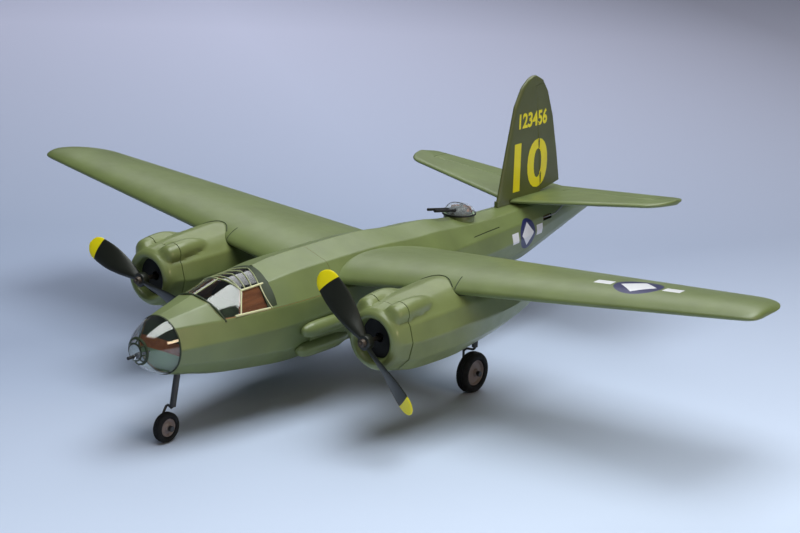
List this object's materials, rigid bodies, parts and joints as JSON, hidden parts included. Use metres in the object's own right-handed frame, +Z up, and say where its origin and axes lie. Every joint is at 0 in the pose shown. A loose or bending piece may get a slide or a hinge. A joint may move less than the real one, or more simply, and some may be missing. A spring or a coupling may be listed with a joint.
{
  "type": "rc warbird plane",
  "caption": "Radio-controlled twin-engine warbird bomber model with spinning propellers, steering nose wheel, moving tail and wing surfaces, turning turret and lift-off canopy hatch.",
  "frame": {"origin": "ground level under the middle of the bounding box, all three wheels on z = 0", "axes": "+X to the pilot's left wing tip, -Y ahead through the nose, +Z up"},
  "size_m": [0.8938, 0.721, 0.2654],
  "materials": {
    "olive_skin": "satin paint on sheeted foam or balsa",
    "drab_skin": "satin paint",
    "olive_plastic": "satin moulded plastic, painted",
    "black_plastic": "semi-gloss moulded nylon",
    "clear_plastic": "clear moulded plastic",
    "tyre": "matt rubber",
    "hub": "grey moulded plastic",
    "leg": "grey painted tube and wire",
    "steel": "bright wire",
    "motor_can": "turned aluminium",
    "ply": "birch plywood",
    "battery_wrap": "shrink wrap",
    "nylon": "moulded nylon",
    "radio_case": "moulded case"
  },
  "bodies": {
    "airframe": {"aileron_servo_left": "radio_case", "aileron_servo_right": "radio_case", "battery": "battery_wrap", "cowl_left": "olive_plastic", "cowl_right": "olive_plastic", "dummy_engine_left": "black_plastic", "dummy_engine_right": "black_plastic", "elevator_servo": "radio_case", "fin": "drab_skin", "fuselage": "olive_skin", "gun_pods_left": "olive_skin", "gun_pods_right": "olive_skin", "main_leg_left": "leg", "main_leg_right": "leg", "motor_left": "motor_can", "motor_right": "motor_can", "nacelle_left": "olive_plastic", "nacelle_right": "olive_plastic", "nose_cone": "clear_plastic", "nose_gear_block": "ply", "nose_gun": "black_plastic", "radio_tray": "ply", "receiver": "radio_case", "rudder_servo": "radio_case", "speed_controller": "radio_case", "stabiliser": "olive_skin", "turret_ring": "black_plastic", "wing_joiner": "ply", "wing_left": "olive_skin", "wing_right": "olive_skin"},
    "hatch": {"canopy_hatch": "olive_skin", "canopy_glazing": "clear_plastic"},
    "turret": {"turret_dome": "clear_plastic", "turret_guns": "black_plastic"},
    "propeller_left": {"propeller_left": "black_plastic", "prop_shaft_left": "steel"},
    "propeller_right": {"propeller_right": "black_plastic", "prop_shaft_right": "steel"},
    "rudder": {"rudder": "drab_skin"},
    "nose_leg": {"nose_leg": "leg"},
    "nose_wheel": {"nose_hub": "hub", "nose_tyre": "tyre"},
    "main_wheel_left": {"main_hub_left": "hub", "main_tyre_left": "tyre"},
    "main_wheel_right": {"main_hub_right": "hub", "main_tyre_right": "tyre"},
    "elevator_left": {"elevator_left": "olive_skin"},
    "elevator_right": {"elevator_right": "olive_skin"},
    "aileron_left": {"aileron_left": "olive_skin"},
    "aileron_right": {"aileron_right": "olive_skin"},
    "rudder_servo_arm": {"rudder_servo_arm": "nylon"},
    "elevator_servo_arm": {"elevator_servo_arm": "nylon"},
    "rudder_pushrod": {"rudder_pushrod": "steel"},
    "steering_pushrod": {"steering_pushrod": "steel"},
    "elevator_pushrod": {"elevator_pushrod": "steel"},
    "aileron_arm_left": {"aileron_arm_left": "nylon"},
    "aileron_arm_right": {"aileron_arm_right": "nylon"},
    "aileron_pushrod_left": {"aileron_pushrod_left": "steel"},
    "aileron_pushrod_right": {"aileron_pushrod_right": "steel"}
  },
  "joints": [
    {"name": "hatch_lift", "type": "slide", "parent": "airframe", "child": "hatch", "axis": [0, 0, 1], "range_m": [0, 0.06]},
    {"name": "turret_turn", "type": "hinge", "parent": "airframe", "child": "turret", "pos_m": [0, 0.1165, 0.1345], "axis": [0, 0, 1], "continuous": true},
    {"name": "propeller_spin_left", "type": "hinge", "parent": "airframe", "child": "propeller_left", "pos_m": [0.142, -0.2075, 0.0995], "axis": [0, 1, 0], "continuous": true},
    {"name": "propeller_spin_right", "type": "hinge", "parent": "airframe", "child": "propeller_right", "pos_m": [-0.142, -0.2075, 0.0995], "axis": [0, 1, 0], "continuous": true},
    {"name": "rudder_turn", "type": "hinge", "parent": "airframe", "child": "rudder", "pos_m": [0, 0.2655, 0.1348], "axis": [0, -0.1371, 0.9906], "range_deg": [-25, 25]},
    {"name": "nose_steer", "type": "hinge", "parent": "airframe", "child": "nose_leg", "pos_m": [0, -0.3005, 0.06], "axis": [0, 0.1961, 0.9806], "range_deg": [-21, 21]},
    {"name": "nose_wheel_roll", "type": "hinge", "parent": "nose_leg", "child": "nose_wheel", "pos_m": [0.003, -0.3175, 0.014], "axis": [1, 0, 0], "continuous": true},
    {"name": "main_wheel_roll_left", "type": "hinge", "parent": "airframe", "child": "main_wheel_left", "pos_m": [0.124, -0.02, 0.0205], "axis": [1, 0, 0], "continuous": true},
    {"name": "main_wheel_roll_right", "type": "hinge", "parent": "airframe", "child": "main_wheel_right", "pos_m": [-0.124, -0.02, 0.0205], "axis": [1, 0, 0], "continuous": true},
    {"name": "elevator_turn_left", "type": "hinge", "parent": "airframe", "child": "elevator_left", "pos_m": [0.024, 0.28, 0.13297], "axis": [0.9885, -0.1076, 0.1058], "range_deg": [-20, 20]},
    {"name": "elevator_turn_right", "type": "hinge", "parent": "airframe", "child": "elevator_right", "pos_m": [-0.148, 0.2665, 0.14624], "axis": [0.9885, 0.1076, -0.1058], "range_deg": [-20, 20]},
    {"name": "aileron_turn_left", "type": "hinge", "parent": "airframe", "child": "aileron_left", "pos_m": [0.232, -0.0085, 0.1424], "axis": [0.9969, -0.0182, 0.076], "range_deg": [-20, 20]},
    {"name": "aileron_turn_right", "type": "hinge", "parent": "airframe", "child": "aileron_right", "pos_m": [-0.396, -0.0115, 0.15491], "axis": [0.9969, 0.0182, -0.076], "range_deg": [-20, 20]},
    {"name": "rudder_servo_turn", "type": "hinge", "parent": "airframe", "child": "rudder_servo_arm", "pos_m": [-0.014, -0.025, 0.091], "axis": [0, 0, 1], "range_deg": [-28, 28]},
    {"name": "elevator_servo_turn", "type": "hinge", "parent": "airframe", "child": "elevator_servo_arm", "pos_m": [0.014, -0.025, 0.091], "axis": [0, 0, 1], "range_deg": [-29, 29]},
    {"name": "rudder_rod_slide", "type": "slide", "parent": "airframe", "child": "rudder_pushrod", "axis": [0, 1, 0], "range_m": [-0.0046, 0.0046]},
    {"name": "steering_rod_slide", "type": "slide", "parent": "airframe", "child": "steering_pushrod", "axis": [0, 1, 0], "range_m": [-0.0046, 0.0046]},
    {"name": "elevator_rod_slide", "type": "slide", "parent": "airframe", "child": "elevator_pushrod", "axis": [0, 1, 0], "range_m": [-0.0048, 0.0048]},
    {"name": "aileron_servo_turn_left", "type": "hinge", "parent": "airframe", "child": "aileron_arm_left", "pos_m": [0.2566, -0.05, 0.138], "axis": [1, 0, 0], "range_deg": [-26, 26]},
    {"name": "aileron_rod_slide_left", "type": "slide", "parent": "airframe", "child": "aileron_pushrod_left", "axis": [0, 1, 0], "range_m": [-0.0056, 0.0056]},
    {"name": "aileron_servo_turn_right", "type": "hinge", "parent": "airframe", "child": "aileron_arm_right", "pos_m": [-0.2566, -0.05, 0.138], "axis": [1, 0, 0], "range_deg": [-26, 26]},
    {"name": "aileron_rod_slide_right", "type": "slide", "parent": "airframe", "child": "aileron_pushrod_right", "axis": [0, 1, 0], "range_m": [-0.0056, 0.0056]}
  ],
  "couplings": [
    {"joint": "nose_steer", "follows": "rudder_turn", "ratio": -0.8333},
    {"joint": "rudder_servo_turn", "follows": "rudder_turn", "ratio": 1.1111},
    {"joint": "rudder_rod_slide", "follows": "rudder_turn", "m_per_rad": -0.01},
    {"joint": "steering_rod_slide", "follows": "rudder_turn", "m_per_rad": 0.01},
    {"joint": "elevator_turn_right", "follows": "elevator_turn_left", "ratio": 1},
    {"joint": "elevator_servo_turn", "follows": "elevator_turn_left", "ratio": 1.4444},
    {"joint": "elevator_rod_slide", "follows": "elevator_turn_left", "m_per_rad": 0.013},
    {"joint": "aileron_turn_right", "follows": "aileron_turn_left", "ratio": -1},
    {"joint": "aileron_servo_turn_left", "follows": "aileron_turn_left", "ratio": 1.25},
    {"joint": "aileron_servo_turn_right", "follows": "aileron_turn_left", "ratio": -1.25},
    {"joint": "aileron_rod_slide_left", "follows": "aileron_turn_left", "m_per_rad": 0.015},
    {"joint": "aileron_rod_slide_right", "follows": "aileron_turn_left", "m_per_rad": -0.015}
  ]
}
